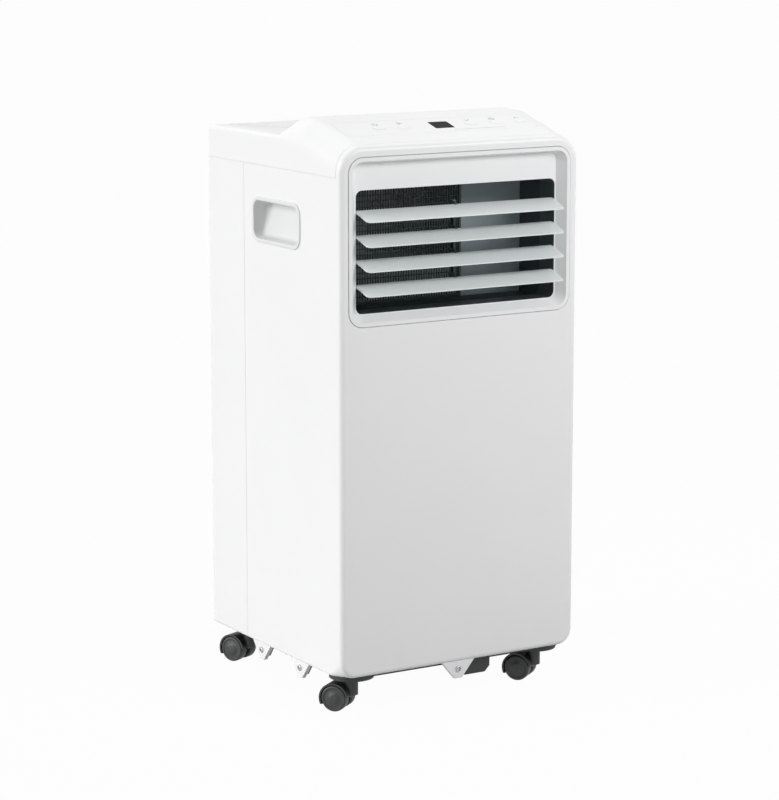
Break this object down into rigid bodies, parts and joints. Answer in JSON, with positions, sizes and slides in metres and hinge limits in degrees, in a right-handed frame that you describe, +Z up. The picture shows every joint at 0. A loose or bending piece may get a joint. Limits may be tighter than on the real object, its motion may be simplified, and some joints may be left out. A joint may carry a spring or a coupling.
{
  "type": "portable air conditioner",
  "caption": "Upright portable air conditioner on swivel casters, with tilting outlet louvres, control panel with keys, hand grips, rear filter door and exhaust collar.",
  "frame": {"origin": "on the floor, under the middle of the overall box", "axes": "+X to the right seen from the front, +Y to the rear, +Z up"},
  "size_m": [0.3332, 0.357, 0.703],
  "materials": {
    "casing_white": "fine satin moulding",
    "louvre_grey": "fine satin moulding",
    "dark_plastic": "matt",
    "duct_grey": "matt",
    "window_black": "gloss",
    "board_green": "solder mask",
    "pan_black": "matt",
    "rubber_black": "matt",
    "coil_aluminium": "plain",
    "pipe_copper": "plain copper",
    "machine_black": "enamel",
    "fan_grey": "satin",
    "steel": "zinc plated",
    "caster_grey": "satin nylon"
  },
  "bodies": {
    "cabinet": {"front_casing": "casing_white", "rear_cover": "casing_white", "top_cover": "casing_white", "base_pan": "pan_black", "outlet_bezel": "casing_white", "louvre_frame": "dark_plastic", "outlet_guard": "dark_plastic", "air_duct": "duct_grey", "grip_left": "casing_white", "grip_right": "casing_white", "control_panel": "casing_white", "display_window": "window_black", "control_board": "board_green", "exhaust_collar": "casing_white", "exhaust_duct": "duct_grey", "cord_gland": "rubber_black", "casing_screws": "steel", "upper_volute": "duct_grey", "upper_motor": "machine_black", "lower_volute": "duct_grey", "lower_motor": "machine_black", "evaporator": "coil_aluminium", "condenser": "coil_aluminium", "drip_tray": "duct_grey", "compressor": "machine_black", "refrigerant_pipes": "pipe_copper", "control_box": "duct_grey"},
    "louvre_1": {"louvre_1": "louvre_grey"},
    "louvre_2": {"louvre_2": "louvre_grey"},
    "louvre_3": {"louvre_3": "louvre_grey"},
    "louvre_4": {"louvre_4": "louvre_grey"},
    "link": {"louvre_link": "dark_plastic"},
    "key_1": {"key_1": "casing_white"},
    "key_2": {"key_2": "casing_white"},
    "key_3": {"key_3": "casing_white"},
    "key_4": {"key_4": "casing_white"},
    "key_5": {"key_5": "casing_white"},
    "door": {"filter_door": "casing_white", "air_filter": "dark_plastic"},
    "plug": {"drain_plug": "rubber_black"},
    "upper_fan": {"upper_wheel": "fan_grey", "upper_shaft": "steel"},
    "lower_fan": {"lower_wheel": "fan_grey", "lower_shaft": "steel"},
    "caster_fl": {"caster_fl_body": "caster_grey", "caster_fl_axle": "steel"},
    "caster_fl_wheel_a": {"caster_fl_wheel_a": "caster_grey"},
    "caster_fl_wheel_b": {"caster_fl_wheel_b": "caster_grey"},
    "caster_fr": {"caster_fr_body": "caster_grey", "caster_fr_axle": "steel"},
    "caster_fr_wheel_a": {"caster_fr_wheel_a": "caster_grey"},
    "caster_fr_wheel_b": {"caster_fr_wheel_b": "caster_grey"},
    "caster_rl": {"caster_rl_body": "caster_grey", "caster_rl_axle": "steel"},
    "caster_rl_wheel_a": {"caster_rl_wheel_a": "caster_grey"},
    "caster_rl_wheel_b": {"caster_rl_wheel_b": "caster_grey"},
    "caster_rr": {"caster_rr_body": "caster_grey", "caster_rr_axle": "steel"},
    "caster_rr_wheel_a": {"caster_rr_wheel_a": "caster_grey"},
    "caster_rr_wheel_b": {"caster_rr_wheel_b": "caster_grey"}
  },
  "joints": [
    {"name": "louvre_tilt_1", "type": "hinge", "parent": "cabinet", "child": "louvre_1", "pos_m": [0, -0.149, 0.6011], "axis": [1, 0, 0], "range_deg": [-50, 38]},
    {"name": "louvre_tilt_2", "type": "hinge", "parent": "cabinet", "child": "louvre_2", "pos_m": [0, -0.149, 0.5723], "axis": [1, 0, 0], "range_deg": [-50, 38]},
    {"name": "louvre_tilt_3", "type": "hinge", "parent": "cabinet", "child": "louvre_3", "pos_m": [0, -0.149, 0.5435], "axis": [1, 0, 0], "range_deg": [-50, 38]},
    {"name": "louvre_tilt_4", "type": "hinge", "parent": "cabinet", "child": "louvre_4", "pos_m": [0, -0.149, 0.5147], "axis": [1, 0, 0], "range_deg": [-50, 38]},
    {"name": "link_pivot", "type": "hinge", "parent": "louvre_1", "child": "link", "pos_m": [0, -0.13857, 0.60459], "axis": [1, 0, 0], "range_deg": [-38, 50]},
    {"name": "key_press_1", "type": "slide", "parent": "cabinet", "child": "key_1", "axis": [0, 0.2666, -0.9638], "range_m": [0, 0.0008], "stiffness_N_per_m": 600, "springref_m": -0.0006},
    {"name": "key_press_2", "type": "slide", "parent": "cabinet", "child": "key_2", "axis": [0, 0.2666, -0.9638], "range_m": [0, 0.0008], "stiffness_N_per_m": 600, "springref_m": -0.0006},
    {"name": "key_press_3", "type": "slide", "parent": "cabinet", "child": "key_3", "axis": [0, 0.2666, -0.9638], "range_m": [0, 0.0008], "stiffness_N_per_m": 600, "springref_m": -0.0006},
    {"name": "key_press_4", "type": "slide", "parent": "cabinet", "child": "key_4", "axis": [0, 0.2666, -0.9638], "range_m": [0, 0.0008], "stiffness_N_per_m": 600, "springref_m": -0.0006},
    {"name": "key_press_5", "type": "slide", "parent": "cabinet", "child": "key_5", "axis": [0, 0.2666, -0.9638], "range_m": [0, 0.0008], "stiffness_N_per_m": 600, "springref_m": -0.0006},
    {"name": "door_hinge", "type": "hinge", "parent": "cabinet", "child": "door", "pos_m": [0, 0.1597, 0.408], "axis": [-1, 0, 0], "range_deg": [0, 70]},
    {"name": "plug_pull", "type": "slide", "parent": "cabinet", "child": "plug", "axis": [0, 1, 0], "range_m": [0, 0.03]},
    {"name": "upper_fan_spin", "type": "hinge", "parent": "cabinet", "child": "upper_fan", "pos_m": [-0.072, 0.007, 0.47], "axis": [0, 1, 0], "continuous": true},
    {"name": "lower_fan_spin", "type": "hinge", "parent": "cabinet", "child": "lower_fan", "pos_m": [0.06, 0.007, 0.15], "axis": [0, 1, 0], "continuous": true},
    {"name": "caster_fl_swivel", "type": "hinge", "parent": "cabinet", "child": "caster_fl", "pos_m": [-0.131, -0.128, 0.042], "axis": [0, 0, 1], "continuous": true},
    {"name": "caster_fl_roll_a", "type": "hinge", "parent": "caster_fl", "child": "caster_fl_wheel_a", "pos_m": [-0.14099, -0.11425, 0.016], "axis": [0.809, 0.5878, 0], "continuous": true},
    {"name": "caster_fl_roll_b", "type": "hinge", "parent": "caster_fl", "child": "caster_fl_wheel_b", "pos_m": [-0.14099, -0.11425, 0.016], "axis": [0.809, 0.5878, 0], "continuous": true},
    {"name": "caster_fr_swivel", "type": "hinge", "parent": "cabinet", "child": "caster_fr", "pos_m": [0.131, -0.128, 0.042], "axis": [0, 0, 1], "continuous": true},
    {"name": "caster_fr_roll_a", "type": "hinge", "parent": "caster_fr", "child": "caster_fr_wheel_a", "pos_m": [0.12101, -0.11425, 0.016], "axis": [0.809, 0.5878, 0], "continuous": true},
    {"name": "caster_fr_roll_b", "type": "hinge", "parent": "caster_fr", "child": "caster_fr_wheel_b", "pos_m": [0.12101, -0.11425, 0.016], "axis": [0.809, 0.5878, 0], "continuous": true},
    {"name": "caster_rl_swivel", "type": "hinge", "parent": "cabinet", "child": "caster_rl", "pos_m": [-0.131, 0.128, 0.042], "axis": [0, 0, 1], "continuous": true},
    {"name": "caster_rl_roll_a", "type": "hinge", "parent": "caster_rl", "child": "caster_rl_wheel_a", "pos_m": [-0.13792, 0.14353, 0.016], "axis": [0.9135, 0.4067, 0], "continuous": true},
    {"name": "caster_rl_roll_b", "type": "hinge", "parent": "caster_rl", "child": "caster_rl_wheel_b", "pos_m": [-0.13792, 0.14353, 0.016], "axis": [0.9135, 0.4067, 0], "continuous": true},
    {"name": "caster_rr_swivel", "type": "hinge", "parent": "cabinet", "child": "caster_rr", "pos_m": [0.131, 0.128, 0.042], "axis": [0, 0, 1], "continuous": true},
    {"name": "caster_rr_roll_a", "type": "hinge", "parent": "caster_rr", "child": "caster_rr_wheel_a", "pos_m": [0.12302, 0.14301, 0.016], "axis": [0.8829, 0.4695, 0], "continuous": true},
    {"name": "caster_rr_roll_b", "type": "hinge", "parent": "caster_rr", "child": "caster_rr_wheel_b", "pos_m": [0.12302, 0.14301, 0.016], "axis": [0.8829, 0.4695, 0], "continuous": true}
  ],
  "couplings": [
    {"joint": "louvre_tilt_2", "follows": "louvre_tilt_1", "ratio": 1},
    {"joint": "louvre_tilt_3", "follows": "louvre_tilt_1", "ratio": 1},
    {"joint": "louvre_tilt_4", "follows": "louvre_tilt_1", "ratio": 1},
    {"joint": "link_pivot", "follows": "louvre_tilt_1", "ratio": -1}
  ]
}
